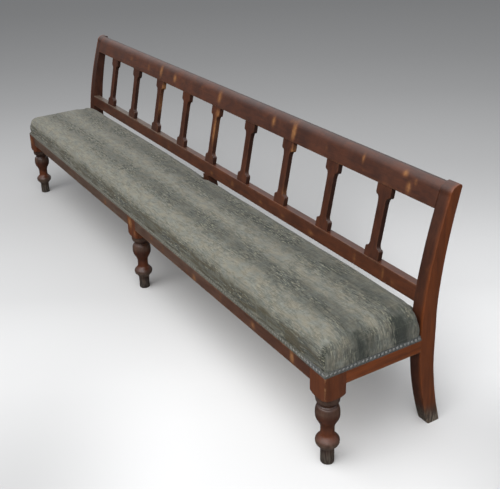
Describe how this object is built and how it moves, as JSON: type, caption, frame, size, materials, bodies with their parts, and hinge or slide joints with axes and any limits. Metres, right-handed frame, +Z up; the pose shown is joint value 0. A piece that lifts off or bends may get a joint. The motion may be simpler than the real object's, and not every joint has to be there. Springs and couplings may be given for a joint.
{
  "type": "railway station bench",
  "caption": "Long fixed wooden waiting bench with turned front legs, swept rear posts, a splatted open back and a stuffed seat covered in banded fabric.",
  "frame": {"origin": "on the floor under the middle of the bench, at the centre of its plan", "axes": "+X along the bench, to the right as seen from the front; +Y towards the back; +Z up; people sit facing -Y"},
  "size_m": [2.99, 0.54, 0.9],
  "materials": {
    "frame_wood": "worn satin stain, reddish brown",
    "underframe_wood": "plain, dull",
    "webbing": "woven jute",
    "hessian": "coarse plain weave",
    "seat_cover": "flat weave with lengthwise bands",
    "braid": "narrow woven trim",
    "studs": "dull, aged"
  },
  "bodies": {
    "root": {"back_splat_1": "frame_wood", "back_splat_2": "frame_wood", "back_splat_3": "frame_wood", "back_splat_4": "frame_wood", "back_splat_5": "frame_wood", "back_splat_6": "frame_wood", "back_splat_7": "frame_wood", "back_splat_8": "frame_wood", "back_splat_9": "frame_wood", "crest_rail": "frame_wood", "front_leg_left": "frame_wood", "front_leg_middle": "frame_wood", "front_leg_right": "frame_wood", "front_rail_left": "frame_wood", "front_rail_right": "frame_wood", "lower_back_rail": "frame_wood", "rear_leg_middle": "frame_wood", "rear_post_left": "frame_wood", "rear_post_right": "frame_wood", "side_rail_left": "frame_wood", "side_rail_right": "frame_wood", "brace_rail_left": "underframe_wood", "brace_rail_right": "underframe_wood", "cross_rail_middle": "underframe_wood", "front_corner_block_left": "underframe_wood", "front_corner_block_right": "underframe_wood", "front_middle_block_left": "underframe_wood", "front_middle_block_right": "underframe_wood", "rear_corner_block_left": "underframe_wood", "rear_corner_block_right": "underframe_wood", "rear_middle_block_left": "underframe_wood", "rear_middle_block_right": "underframe_wood", "rear_rail_left": "underframe_wood", "rear_rail_right": "underframe_wood", "cross_webbing_left_1": "webbing", "cross_webbing_left_2": "webbing", "cross_webbing_left_3": "webbing", "cross_webbing_left_4": "webbing", "cross_webbing_left_5": "webbing", "cross_webbing_left_6": "webbing", "cross_webbing_left_7": "webbing", "cross_webbing_right_1": "webbing", "cross_webbing_right_2": "webbing", "cross_webbing_right_3": "webbing", "cross_webbing_right_4": "webbing", "cross_webbing_right_5": "webbing", "cross_webbing_right_6": "webbing", "cross_webbing_right_7": "webbing", "long_webbing_left_1": "webbing", "long_webbing_left_2": "webbing", "long_webbing_left_3": "webbing", "long_webbing_right_1": "webbing", "long_webbing_right_2": "webbing", "long_webbing_right_3": "webbing", "hessian_left": "hessian", "hessian_right": "hessian", "seat_upholstery": "seat_cover"}
  },
  "joints": []
}
